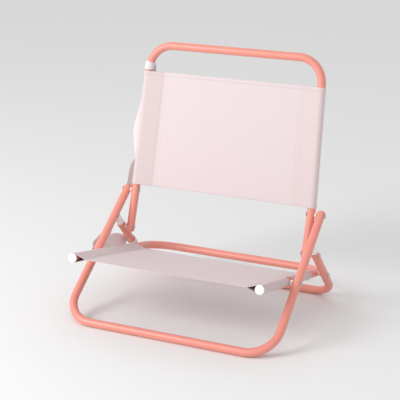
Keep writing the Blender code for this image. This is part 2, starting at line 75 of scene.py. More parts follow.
# ---- sizes ---------------------------------------------------------------------------
TUBE_RADIUS = 0.0095
TUBE_WALL = 0.0012
TUBE_SIDES = 40
OUTER_HALF_WIDTH = 0.248        # outer tube centres at the back and rear-leg pivots
FRONT_FLOOR_HALF_WIDTH = 0.253
REAR_FLOOR_HALF_WIDTH = 0.2515
BACK_TOP_HALF_WIDTH = 0.2162
LINK_GAP = 0.0043               # between an outer tube and the inner tube beside it
INNER_HALF_WIDTH = OUTER_HALF_WIDTH - 2 * TUBE_RADIUS - LINK_GAP
FIT = 0.0003                    # between pieces that touch

FRONT_LEG_BEND = 0.065
FRONT_LEG_END = 0.006           # tube beyond a pivot
BACK_KINK_REACH = 0.013         # back pivot up to the slight bend
BACK_UPPER_ANGLE = 77.2
BACK_LOWER_END = 0.0075
BACK_TOP_BEND = 0.0585
BACK_KINK_BEND = 0.120
SEAT_FRONT_REACH = 0.1612       # seat pivot to the face of the front cap
SEAT_BEND = 0.060
REAR_LEG_BEND = 0.050
REAR_LEG_END = 0.0155
CAP_THICKNESS = 0.0026

CLOTH = 0.0007
HEM = 0.0075
HEM_RISE = 0.0005               # a hem's fold stands this much prouder
SLEEVE_RADIUS = TUBE_RADIUS + 0.00075
BACK_SEAM_INSET = 0.045         # tube centre to the sleeve's seam
BACK_SLING_FOOT = 0.002         # above the slight bend
BACK_SLING_HEIGHT = 0.2735
SEAT_SEAM_INSET = 0.030
SEAT_SLING_START = 0.0034       # behind the cap's face
SEAT_SLING_LENGTH = 0.298
SEAM_ALLOWANCE = 0.008          # cloth beyond a seam, on the hidden side
NOTCH_LENGTH = 0.022            # the seat sleeve's cut-out round its pivot
NOTCH_REACH = 0.0025            # its edges inboard of the tube's centre

STRAP_WIDTH = 0.034
STRAP_THICKNESS = 0.0015
STRAP_LOOP_WIDTH = 0.020
COLLAR_DROP = 0.0505            # below the top bar, at the upper loop's middle
LOWER_LOOP_REACH = 0.078        # below the link pivot, along the rear leg

RIVET_RADIUS = 0.0025
RIVET_HEAD_RADIUS = 0.0052
RIVET_HEAD_HEIGHT = 0.0024
INNER_HEAD_HEIGHT = 0.0013      # the rivets are flatter on the chair's inner side
SPACER_RADIUS = 0.0056


# ---- places, from the frame -------------------------------------------------------------
def direction(degrees):
    """Side-view unit vector (y, z) at an angle above +Y."""
    return Vector((math.cos(math.radians(degrees)), math.sin(math.radians(degrees))))


def at(x, side_point):
    """World point from x and a side-view point."""
    return Vector((x, side_point[0], side_point[1]))


def joint_place(name):
    joint = next(j for j in frame["joints"] if j["name"] == name)
    return Vector(joint["pos_m"][1:])


def middle_of(node):
    low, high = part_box(node)
    return Vector(((low + high) / 2)[1:])


BACK_PIVOT = joint_place("back_fold")
SEAT_PIVOT = joint_place("seat_fold")
LINK_PIVOT = joint_place("rear_leg_fold")
FOOT_PIVOT = middle_of("foot_pivot_stud_left")

LEG = (BACK_PIVOT - SEAT_PIVOT).normalized()
FLOOR_BAR = SEAT_PIVOT - LEG * ((SEAT_PIVOT[1] - TUBE_RADIUS) / LEG[1])
SEAT = (FOOT_PIVOT - SEAT_PIVOT).normalized()
SEAT_FACE = SEAT_PIVOT - SEAT * SEAT_FRONT_REACH
SEAT_BACK_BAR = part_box("seat_frame")[1].y - TUBE_RADIUS
SEAT_REAR = SEAT_PIVOT + SEAT * ((SEAT_BACK_BAR - SEAT_PIVOT[0]) / SEAT[0])
BACK_LOWER = (BACK_PIVOT - LINK_PIVOT).normalized()
BACK_UPPER = direction(BACK_UPPER_ANGLE)
BACK_KINK = BACK_PIVOT + BACK_LOWER * BACK_KINK_REACH
TOP_BAR_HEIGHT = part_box("back_frame")[1].z - TUBE_RADIUS
BACK_TOP = BACK_KINK + BACK_UPPER * ((TOP_BAR_HEIGHT - BACK_KINK[1]) / BACK_UPPER[1])
REAR_LEG = (FOOT_PIVOT - LINK_PIVOT).normalized()
REAR_LEG_TOP = LINK_PIVOT - REAR_LEG * REAR_LEG_END
REAR_FOOT = FOOT_PIVOT + REAR_LEG * ((TUBE_RADIUS - FOOT_PIVOT[1]) / REAR_LEG[1])


def half_width_at(point, near, near_half_width, far, far_half_width):
    """Half width of a splayed pair of tubes beside a point between two others."""
    along = (point - near).dot(far - near) / (far - near).length_squared
    return near_half_width + (far_half_width - near_half_width) * along


def front_half_width(point):
    ends = (BACK_PIVOT, OUTER_HALF_WIDTH, FLOOR_BAR, FRONT_FLOOR_HALF_WIDTH)
    return half_width_at(point, *ends)


def rear_half_width(point):
    ends = (LINK_PIVOT, OUTER_HALF_WIDTH, REAR_FOOT, REAR_FLOOR_HALF_WIDTH)
    return half_width_at(point, *ends)


def back_half_width(point):
    ends = (BACK_KINK, INNER_HALF_WIDTH, BACK_TOP, BACK_TOP_HALF_WIDTH)
    return half_width_at(point, *ends)


# ---- material nodes ------------------------------------------------------------------------
def add_node(tree, kind, settings=None, **inputs):
    """A node with its settings, and its inputs set to values or linked to sockets."""
    made = tree.nodes.new(kind)
    for name, value in (settings or {}).items():
        setattr(made, name, value)
    for name, value in inputs.items():
        plug_in(tree, made.inputs[name.replace("_", " ")], value)
    return made


def plug_in(tree, socket, value):
    if isinstance(value, bpy.types.NodeSocket):
        tree.links.new(value, socket)
    else:
        socket.default_value = value


def calculate(tree, operation, *values):
    made = add_node(tree, "ShaderNodeMath", {"operation": operation})
    for socket, value in zip(made.inputs, values):
        plug_in(tree, socket, value)
    return made.outputs[0]


def mix_color(tree, factor, a, b):
    made = add_node(tree, "ShaderNodeMix", {"data_type": "RGBA"})
    for index, value in ((0, factor), (6, a), (7, b)):
        plug_in(tree, made.inputs[index], value)
    return made.outputs[2]


def remap(tree, value, from_low, from_high, to_low, to_high):
    made = add_node(tree, "ShaderNodeMapRange", {"interpolation_type": "SMOOTHSTEP"})
    for socket, number in zip(made.inputs, (value, from_low, from_high, to_low, to_high)):
        plug_in(tree, socket, number)
    return made.outputs[0]


def noise(tree, coordinates, scale, detail=3.0):
    made = add_node(tree, "ShaderNodeTexNoise", Vector=coordinates, Scale=scale, Detail=detail)
    return made.outputs[0]


def bump(tree, height, strength, distance, before=None):
    made = add_node(
        tree, "ShaderNodeBump", Height=height, Strength=strength, Distance=distance
    )
    if before:
        plug_in(tree, made.inputs["Normal"], before)
    return made.outputs[0]


def new_material(name, **constants):
    """A material and its Principled shader, with the shader's constant inputs."""
    paint = bpy.data.materials.new(name)
    paint.use_nodes = True
    shader = paint.node_tree.nodes["Principled BSDF"]
    for socket, value in constants.items():
        shader.inputs[socket.replace("_", " ")].default_value = value
    return paint, paint.node_tree, shader


def color(red, green, blue):
    return (red, green, blue, 1.0)


def object_coordinates(tree):
    return add_node(tree, "ShaderNodeTexCoord").outputs["Object"]


# ---- materials ---------------------------------------------------------------------------------
def powder_coat(name, light, dark):
    """Satin powder coat: faint mottling, orange peel, and scuffs where a tube meets the floor."""
    paint, tree, shader = new_material(
        name, Coat_Weight=0.12, Coat_Roughness=0.22, Specular_IOR_Level=0.5
    )
    place = object_coordinates(tree)
    base = mix_color(tree, noise(tree, place, 14.0), dark, light)
    height = add_node(tree, "ShaderNodeSeparateXYZ", Vector=place).outputs["Z"]
    near_floor = remap(tree, height, 0.0, 0.0022, 1.0, 0.0)
    scratches = remap(tree, noise(tree, place, 420.0, 5.0), 0.45, 0.62, 0.0, 0.8)
    scuff = calculate(tree, "MULTIPLY", near_floor, scratches)
    worn = color(0.50, 0.23, 0.19)
    plug_in(tree, shader.inputs["Base Color"], mix_color(tree, scuff, base, worn))
    sheen = remap(tree, noise(tree, place, 60.0), 0.3, 0.7, 0.30, 0.40)
    plug_in(tree, shader.inputs["Roughness"], calculate(tree, "ADD", sheen, scuff))
    peel = bump(tree, noise(tree, place, 900.0, 2.0), 0.12, 0.0002)
    plug_in(tree, shader.inputs["Normal"], peel)
    return paint


def moulded_plastic(name, light, dark, roughness):
    """Moulded nylon: a fine spark-eroded grain and a faint flow mark."""
    paint, tree, shader = new_material(name, Specular_IOR_Level=0.5)
    place = object_coordinates(tree)
    plug_in(
        tree, shader.inputs["Base Color"], mix_color(tree, noise(tree, place, 45.0), dark, light)
    )
    gloss = remap(tree, noise(tree, place, 180.0), 0.3, 0.7, roughness - 0.05, roughness + 0.05)
    plug_in(tree, shader.inputs["Roughness"], gloss)
    grain = bump(tree, noise(tree, place, 2600.0, 2.0), 0.15, 0.0001)
    plug_in(tree, shader.inputs["Normal"], grain)
    return paint


def plated_steel(name):
    """Zinc-plated steel with the turning marks of the rivet press."""
    paint, tree, shader = new_material(name, Metallic=1.0)
    place = object_coordinates(tree)
    tone = noise(tree, place, 300.0, 4.0)
    plug_in(
        tree, shader.inputs["Base Color"],
        mix_color(tree, tone, color(0.42, 0.41, 0.40), color(0.72, 0.71, 0.69)),
    )
    plug_in(tree, shader.inputs["Roughness"], remap(tree, tone, 0.3, 0.7, 0.25, 0.42))
    marks = bump(tree, noise(tree, place, 1500.0, 3.0), 0.2, 0.0001)
    plug_in(tree, shader.inputs["Normal"], marks)
    return paint


def woven(name, light, dark, painted_shade, pitch, depth):
    """Plain weave in the piece's own cloth coordinates, in metres: threads over and under
    each other, slubs along both threads, and painted shade, a darker colour wherever the mesh's
    painted-shade attribute is set."""
    paint, tree, shader = new_material(
        name, Sheen_Weight=0.25, Sheen_Roughness=0.5, Specular_IOR_Level=0.25
    )
    cloth = add_node(tree, "ShaderNodeUVMap", {"uv_map": "cloth"}).outputs[0]
    split = add_node(tree, "ShaderNodeSeparateXYZ", Vector=cloth)
    turns = 2 * math.pi / pitch
    waves = [
        calculate(tree, "SINE", calculate(tree, "MULTIPLY", split.outputs[axis], turns))
        for axis in ("X", "Y")
    ]
    weave = calculate(tree, "MULTIPLY", *waves)
    over_under = calculate(tree, "MULTIPLY_ADD", weave, 0.5, 0.5)
    slubs = []
    for stretch in ((6.0, 900.0, 0.0), (900.0, 6.0, 0.0)):
        along = add_node(tree, "ShaderNodeVectorMath", {"operation": "MULTIPLY"})
        plug_in(tree, along.inputs[0], cloth)
        plug_in(tree, along.inputs[1], stretch)
        slubs.append(noise(tree, along.outputs[0], 1.0, 2.0))
    threads = calculate(tree, "MULTIPLY_ADD", slubs[0], 0.5, calculate(tree, "MULTIPLY", slubs[1], 0.5))
    tone = calculate(tree, "MULTIPLY_ADD", over_under, 0.35, calculate(tree, "MULTIPLY", threads, 0.65))
    base = mix_color(tree, tone, dark, light)
    # painted shade: sleeves, seam lines and strap loops are coloured darker, standing in for the shade on
    # them
    layers = add_node(tree, "ShaderNodeAttribute", {"attribute_name": "painted_shade"}).outputs["Fac"]
    plug_in(tree, shader.inputs["Base Color"], mix_color(tree, layers, base, painted_shade))
    plug_in(tree, shader.inputs["Roughness"], remap(tree, threads, 0.3, 0.7, 0.78, 0.92))
    relief = bump(tree, threads, 0.25, 0.0002)
    plug_in(tree, shader.inputs["Normal"], bump(tree, over_under, 0.5, depth, relief))
    return paint


def thread(name, tint):
    """Twisted sewing thread."""
    paint, tree, shader = new_material(name, Sheen_Weight=0.2)
    place = object_coordinates(tree)
    twist = noise(tree, place, 2200.0, 2.0)
    darker = tuple(0.8 * channel for channel in tint[:3]) + (1.0,)
    plug_in(tree, shader.inputs["Base Color"], mix_color(tree, twist, darker, tint))
    plug_in(tree, shader.inputs["Roughness"], remap(tree, twist, 0.3, 0.7, 0.6, 0.8))
    plug_in(tree, shader.inputs["Normal"], bump(tree, twist, 0.3, 0.0001))
    return paint


PAINTS = {
    "coral_paint": powder_coat("coral_paint_coat", color(0.84, 0.305, 0.245), color(0.80, 0.28, 0.22)),
    "coral_plastic": moulded_plastic(
        "coral_plastic_moulded", color(0.82, 0.30, 0.24), color(0.78, 0.275, 0.22), 0.42
    ),
    "white_plastic": moulded_plastic(
        "white_plastic_moulded", color(0.90, 0.90, 0.89), color(0.86, 0.86, 0.85), 0.38
    ),
    "rivet_steel": plated_steel("rivet_steel_plated"),
    # the third colour of each cloth is painted shade, used on its sleeves, seam lines and loops
    "back_cloth": woven(
        "back_cloth_woven", color(0.795, 0.685, 0.695), color(0.715, 0.605, 0.615),
        color(0.725, 0.60, 0.605), 0.0011, 0.0002,
    ),
    # painted shade: the seat is the back's cloth coloured darker, for the shade on the level seat
    "seat_cloth": woven(
        "seat_cloth_woven_painted_shade", color(0.695, 0.58, 0.59), color(0.62, 0.505, 0.515),
        color(0.63, 0.50, 0.51), 0.0011, 0.0002,
    ),
    "strap_webbing": woven(
        "strap_webbing_woven", color(0.86, 0.775, 0.785), color(0.78, 0.69, 0.70),
        color(0.80, 0.74, 0.74), 0.0016, 0.0004,
    ),
}
THREAD = thread("sewing_thread", color(0.74, 0.60, 0.60))

SLOT_OF = {s["node"]: s["material_slot"] for s in frame["record"]["subparts"]}
BODIES = frame["record"]["behaviour"]["bodies"]
BODY_OF = {node: body for body, nodes in BODIES.items() for node in nodes}


# ---- mesh helpers --------------------------------------------------------------------------------
def object_from(bm, name, paint, smooth_angle=40.0):
    bmesh.ops.recalc_face_normals(bm, faces=bm.faces)
    mesh = bpy.data.meshes.new(name)
    bm.to_mesh(mesh)
    bm.free()
    mesh.shade_smooth()
    mesh.set_sharp_from_angle(angle=math.radians(smooth_angle))
    mesh.materials.append(paint)
    piece = bpy.data.objects.new(name, mesh)
    bpy.context.scene.collection.objects.link(piece)
    return piece


def stand_in(piece, node):
    """The piece takes a CAD node's place on its body, and the node is hidden."""
    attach(piece, BODY_OF[node])
    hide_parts(node)
    return piece


def rounded_path(corners, bends, step_degrees=4.0):
    """Points along a polyline whose inner corners are arcs of the given radii."""
    points = [corners[0]]
    for before, corner, after, bend in zip(corners, corners[1:], corners[2:], bends):
        inward = (before - corner).normalized()
        outward = (after - corner).normalized()
        turn = math.pi - inward.angle(outward)
        tangent = bend * math.tan(turn / 2)
        centre = corner + (inward + outward).normalized() * (bend / math.cos(turn / 2))
        first = corner + inward * tangent - centre
        axis = (-inward).cross(outward).normalized()
        steps = max(3, round(math.degrees(turn) / step_degrees))
        for i in range(steps + 1):
            spun = Matrix.Rotation(turn * i / steps, 3, axis) @ first
            points.append(centre + spun)
    points.append(corners[-1])
    return points


def sub_path(points, start, end):
    """The stretch of a path between two distances along it."""
    travelled, kept = 0.0, []
    for a, b in zip(points, points[1:]):
        length = (b - a).length
        if travelled <= start <= travelled + length:
            kept.append(a.lerp(b, (start - travelled) / length))
        elif kept:
            kept.append(a.copy())
        if travelled <= end <= travelled + length:
            kept.append(a.lerp(b, (end - travelled) / length))
            break
        travelled += length
    return kept


def distance_along(path, point):
    """Distance along a path to the place nearest a point."""
    travelled, best = 0.0, (1e9, 0.0)
    for a, b in zip(path, path[1:]):
        edge = b - a
        t = min(max((point - a).dot(edge) / edge.length_squared, 0.0), 1.0)
        best = min(best, ((point - (a + edge * t)).length, travelled + edge.length * t))
        travelled += edge.length
    return best[1]


def path_frames(points, normal=None):
    """A point, a normal and a binormal at each point of a path, without twist."""
    tangents = []
    for i in range(len(points)):
        a, b = points[max(i - 1, 0)], points[min(i + 1, len(points) - 1)]
        tangents.append((b - a).normalized())
    normal = normal or tangents[0].orthogonal()
    frames = []
    for point, tangent in zip(points, tangents):
        normal = (normal - tangent * normal.dot(tangent)).normalized()
        frames.append((point, normal, tangent.cross(normal)))
    return frames


def ring(bm, place, radius, sides):
    point, normal, binormal = place
    angles = [2 * math.pi * k / sides for k in range(sides)]
    spokes = [normal * math.cos(a) + binormal * math.sin(a) for a in angles]
    return [bm.verts.new(point + spoke * radius) for spoke in spokes]


def join_loops(bm, a, b):
    for k in range(len(a)):
        n = (k + 1) % len(a)
        bm.faces.new((a[k], a[n], b[n], b[k]))


def hollow_tube(name, points, paint):
    """Open-ended pipe along a path."""
    bm = bmesh.new()
    frames = path_frames(points)
    walls = [
        [ring(bm, place, radius, TUBE_SIDES) for place in frames]
        for radius in (TUBE_RADIUS, TUBE_RADIUS - TUBE_WALL)
    ]
    for rings in walls:
        for a, b in zip(rings, rings[1:]):
            join_loops(bm, a, b)
    outside, inside = walls
    join_loops(bm, outside[0], inside[0])
    join_loops(bm, outside[-1], inside[-1])
    return object_from(bm, name, paint)


def turned(name, profile, origin, axis, paint, sides=40, closed=False, smooth_angle=40.0):
    """Solid of revolution.  The profile is (distance along the axis, radius) pairs;
    a closed profile makes a ring, an open one starts and ends on the axis."""
    bm = bmesh.new()
    normal = axis.orthogonal().normalized()
    binormal = axis.cross(normal)
    loops = []
    for along, radius in profile:
        centre = origin + axis * along
        if radius < 1e-7:
            loops.append([bm.verts.new(centre)])
        else:
            loops.append(ring(bm, (centre, normal, binormal), radius, sides))
    pairs = list(zip(loops, loops[1:]))
    if closed:
        pairs.append((loops[-1], loops[0]))
    for a, b in pairs:
        if len(a) == len(b):
            join_loops(bm, a, b)
            continue
        tip, rim = (a, b) if len(a) == 1 else (b, a)
        for k in range(sides):
            bm.faces.new((tip[0], rim[k], rim[(k + 1) % sides]))
    return object_from(bm, name, paint, smooth_angle)


def quarter_round(along, radius, size, outward, steps=4):
    """Profile points of a rounded edge from a rim to a face, or to the face behind it."""
    points = []
    for i in range(steps + 1):
        a = math.pi / 2 * i / steps
        points.append((
            along - outward * size * (1 - math.sin(a)),
            radius - size * (1 - math.cos(a)),
        ))
    return points


# ---- frames ----------------------------------------------------------------------------------------
def u_path(side_points, half_widths, bends):
    """A U-shaped path: up one side's points, across, and back down the other side."""
    stops = list(zip(side_points, half_widths))
    right = [at(width, point) for point, width in stops]
    left = [at(-width, point) for point, width in reversed(stops)]
    return rounded_path(right + left, bends + list(reversed(bends)))


FRONT_LEG_TIP = BACK_PIVOT + LEG * FRONT_LEG_END
FRONT_LEG_PATH = u_path(
    [FRONT_LEG_TIP, FLOOR_BAR],
    [front_half_width(FRONT_LEG_TIP), FRONT_FLOOR_HALF_WIDTH],
    [FRONT_LEG_BEND],
)
BACK_PATH = u_path(
    [LINK_PIVOT - BACK_LOWER * BACK_LOWER_END, BACK_KINK, BACK_TOP],
    [INNER_HALF_WIDTH, INNER_HALF_WIDTH, BACK_TOP_HALF_WIDTH],
    [BACK_KINK_BEND, BACK_TOP_BEND],
)
SEAT_PATH = u_path(
    [SEAT_FACE + SEAT * (CAP_THICKNESS + FIT), SEAT_REAR],
    [INNER_HALF_WIDTH, INNER_HALF_WIDTH],
    [SEAT_BEND],
)
REAR_LEG_PATH = u_path(
    [REAR_LEG_TOP, REAR_FOOT],
    [rear_half_width(REAR_LEG_TOP), REAR_FLOOR_HALF_WIDTH],
    [REAR_LEG_BEND],
)


def tube_end(path, side):
    """A U's open end on one side: its centre and the direction out of it."""
    tip, inside = (path[0], path[1]) if side > 0 else (path[-1], path[-2])
    return tip, (tip - inside).normalized()


def add_frames():
    for name, node, path in (
        ("front_leg_tube", "front_leg_frame", FRONT_LEG_PATH),
        ("back_tube", "back_frame", BACK_PATH),
        ("seat_tube", "seat_frame", SEAT_PATH),
        ("rear_leg_tube", "rear_leg_frame", REAR_LEG_PATH),
    ):
        stand_in(hollow_tube(name, path, PAINTS[SLOT_OF[node]]), node)


# ---- plugs, caps, rivets, spacers ------------------------------------------------------------------
PLUG_HEIGHT = 0.0055
PLUG_LIP = 0.0009               # straight band under the plug's dome
PLUG_STEM = 0.0025


def add_plug(name, node, path, side):
    """Push-in plug with a low dome that closes a tube's open end."""
    tip, along = tube_end(path, side)
    stem = TUBE_RADIUS - TUBE_WALL - FIT
    profile = [(-PLUG_STEM, 0.0), (-PLUG_STEM, stem), (FIT / 2, stem), (FIT / 2, TUBE_RADIUS)]
    steps = 8
    for i in range(steps + 1):
        a = math.pi / 2 * i / steps
        rise = (PLUG_HEIGHT - PLUG_LIP) * math.sin(a)
        profile.append((PLUG_LIP + rise, TUBE_RADIUS * math.cos(a) ** 0.8 if i < steps else 0.0))
    stand_in(turned(name, profile, tip, along, PAINTS[SLOT_OF[node]]), node)


CAP_STEM = 0.010
CAP_LIP = 0.0011                # the cap's flange beyond the tube
CAP_DISH = 0.0003               # the face is slightly hollow inside its rim
CAP_RIM = 0.0016


def add_seat_cap(name, node, side):
    """White cap whose flange is slightly wider than the tube."""
    stem = TUBE_RADIUS - TUBE_WALL - FIT
    flange = TUBE_RADIUS + CAP_LIP
    profile = [(-CAP_STEM, 0.0), (-CAP_STEM, stem), (0.0, stem), (0.0, flange - 0.0004)]
    profile += [(0.0002, flange - 0.0001), (0.0005, flange)]
    profile += quarter_round(CAP_THICKNESS, flange, 0.0009, 1)
    profile += [(CAP_THICKNESS, flange - CAP_RIM), (CAP_THICKNESS - CAP_DISH, flange - 2 * CAP_RIM)]
    profile += [(CAP_THICKNESS - CAP_DISH, 0.002), (CAP_THICKNESS - CAP_DISH, 0.0)]
    tip = at(side * INNER_HALF_WIDTH, SEAT_FACE + SEAT * CAP_THICKNESS)
    cap = turned(name, profile, tip, at(0.0, -SEAT), PAINTS[SLOT_OF[node]])
    stand_in(cap, node)


INNER_FACE = INNER_HALF_WIDTH - TUBE_RADIUS - FIT
GAP_INNER = INNER_HALF_WIDTH + TUBE_RADIUS + FIT
STUD_END = INNER_HALF_WIDTH + TUBE_RADIUS


def rivet_head(x, outward, height):
    """Rivet head profile, from the dimple on its axis down to the shank."""
    dome = [(height * 0.72, 0.0), (height * 0.72, 0.0009), (height * 0.95, 0.0015)]
    steps = 6
    for i in range(steps + 1):
        a = math.pi / 2 * (1 - i / steps)
        radius = 0.002 + (RIVET_HEAD_RADIUS - 0.002) * math.cos(a)
        dome.append((height * math.sin(a), radius))
    return [(x + outward * along, radius) for along, radius in dome] + [(x, RIVET_RADIUS)]


def add_rivet(name, node, side, pivot, outer_half_width, ends):
    profile = [(STUD_END, 0.0), (STUD_END, RIVET_RADIUS)]
    if "outer" in ends:
        profile = rivet_head(outer_half_width + TUBE_RADIUS + FIT, 1, RIVET_HEAD_HEIGHT)
    if "inner" in ends:
        profile += list(reversed(rivet_head(INNER_FACE, -1, INNER_HEAD_HEIGHT)))
    else:
        profile += [(GAP_INNER, RIVET_RADIUS), (GAP_INNER, 0.0)]
    axis = Vector((side, 0.0, 0.0))
    pin = turned(name, profile, at(0.0, pivot), axis, PAINTS[SLOT_OF[node]], sides=28)
    stand_in(pin, node)


SPACER_EDGE = 0.0004


def add_spacer(name, node, side, pivot, outer_half_width):
    """Round nylon washer that keeps two crossing tubes apart."""
    hole = RIVET_RADIUS + FIT
    gap_outer = outer_half_width - TUBE_RADIUS - FIT
    profile = [(GAP_INNER, hole), (GAP_INNER, SPACER_RADIUS - SPACER_EDGE)]
    profile += [(GAP_INNER + SPACER_EDGE, SPACER_RADIUS), (gap_outer - SPACER_EDGE, SPACER_RADIUS)]
    profile += [(gap_outer, SPACER_RADIUS - SPACER_EDGE), (gap_outer, hole)]
    axis = Vector((side, 0.0, 0.0))
    washer = turned(
        name, profile, at(0.0, pivot), axis, PAINTS[SLOT_OF[node]], sides=36, closed=True
    )
    stand_in(washer, node)


SADDLE_RADIUS = 0.0091
SADDLE_STEM = 0.005
SADDLE_COLLAR = 0.003           # full-width band beside the tube's end
SADDLE_STEP = 0.0006
SADDLE_WRAP = 0.005             # front-leg centre to the saddle's tips


def add_saddle(name, node, side):
    """Moulded rest on a rear leg's top end, hollowed to fit round the front leg."""
    tip, along = tube_end(REAR_LEG_PATH, side)
    leg_normal = Vector((-LEG[1], LEG[0]))
    reach = abs((REAR_LEG_TOP - FLOOR_BAR).dot(leg_normal) / REAR_LEG.dot(leg_normal))
    contact = REAR_LEG_TOP - REAR_LEG * reach
    leg_centre = at(side * front_half_width(contact), contact)
    leg_axis = tube_end(FRONT_LEG_PATH, side)[1]
    flat_end = reach - SADDLE_WRAP

    def end_at(point):
        """Distance along the saddle to where a line parallel to it meets the leg."""
        offset = point - leg_centre
        across = offset - leg_axis * offset.dot(leg_axis)
        step = along - leg_axis * along.dot(leg_axis)
        a, b = step.length_squared, across.dot(step)
        c = across.length_squared - (TUBE_RADIUS + FIT) ** 2
        inside = b * b - a * c
        return min(flat_end, (-b - math.sqrt(inside)) / a) if inside > 0 else flat_end

    normal = along.orthogonal().normalized()
    places = (tip, normal, along.cross(normal))
    bm = bmesh.new()
    stem = TUBE_RADIUS - TUBE_WALL - FIT
    loops = [[bm.verts.new(tip - along * SADDLE_STEM)]]
    for distance, radius in (
        (-SADDLE_STEM, stem), (FIT, stem), (FIT, TUBE_RADIUS),
        (SADDLE_COLLAR, TUBE_RADIUS), (SADDLE_COLLAR + SADDLE_STEP, SADDLE_RADIUS),
    ):
        shifted = (tip + along * distance, *places[1:])
        loops.append(ring(bm, shifted, radius, TUBE_SIDES))
    rings_across = 8
    for k in range(rings_across + 1):
        radius = SADDLE_RADIUS * (1 - k / rings_across)
        if k == rings_across:
            loops.append([bm.verts.new(tip + along * end_at(tip))])
            continue
        loop = ring(bm, places, radius, TUBE_SIDES)
        for vert in loop:
            vert.co += along * end_at(vert.co)
        loops.append(loop)
    for a, b in zip(loops, loops[1:]):
        if len(a) == len(b):
            join_loops(bm, a, b)
            continue
        point, rim = (a, b) if len(a) == 1 else (b, a)
        for k in range(TUBE_SIDES):
            bm.faces.new((point[0], rim[k], rim[(k + 1) % TUBE_SIDES]))
    stand_in(object_from(bm, name, PAINTS[SLOT_OF[node]], 50.0), node)


def add_hardware():
    for word, side in (("left", -1), ("right", 1)):
        add_plug(f"front_leg_end_plug_{word}", f"front_leg_plug_{word}", FRONT_LEG_PATH, side)
        add_plug(f"back_end_plug_{word}", f"back_frame_plug_{word}", BACK_PATH, side)
        add_seat_cap(f"seat_end_cap_{word}", f"seat_cap_{word}", side)
        add_saddle(f"rear_leg_rest_{word}", f"leg_saddle_{word}", side)
        for label, pivot, half_width in (
            ("back_pivot", BACK_PIVOT, front_half_width(BACK_PIVOT)),
            ("seat_pivot", SEAT_PIVOT, front_half_width(SEAT_PIVOT)),
            ("link_pivot", LINK_PIVOT, rear_half_width(LINK_PIVOT)),
            ("foot_pivot", FOOT_PIVOT, rear_half_width(FOOT_PIVOT)),
        ):
            ends = ("outer",) if label == "foot_pivot" else ("outer", "inner")
            place = (side, pivot, half_width)
            add_rivet(f"{label}_pin_{word}", f"{label}_rivet_{word}", *place, ends)
            add_spacer(f"{label}_washer_{word}", f"{label}_spacer_{word}", *place)
        add_rivet(f"foot_pivot_head_{word}", f"foot_pivot_stud_{word}", *place, ("inner",))


# ---- cloth ---------------------------------------------------------------------------------------------
def grid_normals(points):
    """Unit normals of a grid of points, shaped (rows, columns, 3)."""
    along = np.gradient(points, axis=0)
    across = np.gradient(points, axis=1)
    normals = np.cross(across, along)
    return normals / np.maximum(np.linalg.norm(normals, axis=2, keepdims=True), 1e-12)


def cloth_shell(name, points, outside, inside, painted_shade, keep, paint):
    """Closed cloth between a grid of points offset outwards and inwards along its normals.
    keep says which cells are cloth; the painted-shade values give each point's share of painted shade."""
    rows, columns = points.shape[:2]
    normals = grid_normals(points)
    skins = (points + normals * outside[..., None], points - normals * inside[..., None])
    steps_across = np.linalg.norm(np.diff(points, axis=1), axis=2)
    u = np.concatenate([np.zeros((rows, 1)), np.cumsum(steps_across, axis=1)], axis=1)
    steps_along = np.linalg.norm(np.diff(points, axis=0), axis=2).mean(axis=1)
    v = np.concatenate([[0.0], np.cumsum(steps_along)])
    bm = bmesh.new()
    uv_layer = bm.loops.layers.uv.new("cloth")
    tone = bm.verts.layers.float.new("painted_shade")
    used = np.zeros((rows, columns), bool)
    for i, j in zip(*np.nonzero(keep)):
        used[i:i + 2, j:j + 2] = True
    verts = [{}, {}]
    where = {}
    for skin in (0, 1):
        for i, j in zip(*np.nonzero(used)):
            vert = bm.verts.new(skins[skin][i, j])
            vert[tone] = painted_shade[i, j]
            verts[skin][i, j] = vert
            where[vert] = (u[i, j], v[i])
    edges = {}
    for i, j in zip(*np.nonzero(keep)):
        corners = [(i, j), (i, j + 1), (i + 1, j + 1), (i + 1, j)]
        bm.faces.new([verts[0][c] for c in corners])
        bm.faces.new([verts[1][c] for c in reversed(corners)])
        for a, b in zip(corners, corners[1:] + corners[:1]):
            edges[a, b] = (b, a) not in edges
            if (b, a) in edges:
                edges[b, a] = edges[a, b] = False
    for (a, b), alone in edges.items():
        if alone:
            bm.faces.new((verts[0][b], verts[0][a], verts[1][a], verts[1][b]))
    for face in bm.faces:
        for loop in face.loops:
            loop[uv_layer].uv = where[loop.vert]
    return object_from(bm, name, paint, 55.0), skins[0], normals


STITCH_PITCH = 0.0034
STITCH_LENGTH = 0.0026
STITCH_RADIUS = 0.00026
STITCH_SIDES = 5


def add_stitches(name, lines, body):
    """Rows of sewn stitches along polylines of points, each with its normals."""
    bm = bmesh.new()
    for points, normals in lines:
        steps = np.linalg.norm(np.diff(points, axis=0), axis=1)
        travelled = np.concatenate([[0.0], np.cumsum(steps)])
        count = int((travelled[-1] - STITCH_PITCH) / STITCH_PITCH)
        for k in range(count):
            start = (k + 0.6) * STITCH_PITCH
            stations = np.linspace(start, start + STITCH_LENGTH, 4)
            line = np.stack([np.interp(stations, travelled, points[:, c]) for c in range(3)], 1)
            up = np.array([np.interp(start, travelled, normals[:, c]) for c in range(3)])
            lift = np.array([-0.5, 0.6, 0.6, -0.5])[:, None] * STITCH_RADIUS * up
            frames = path_frames([Vector(p) for p in line + lift], Vector(up))
            widths = (0.5, 1.0, 1.0, 0.5)
            rings = [
                ring(bm, place, STITCH_RADIUS * width, STITCH_SIDES)
                for place, width in zip(frames, widths)
            ]
            for a, b in zip(rings, rings[1:]):
                join_loops(bm, a, b)
            bm.faces.new(rings[0])
            bm.faces.new(rings[-1])
    stitches = object_from(bm, name, THREAD)
    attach(stitches, body)
    return stitches


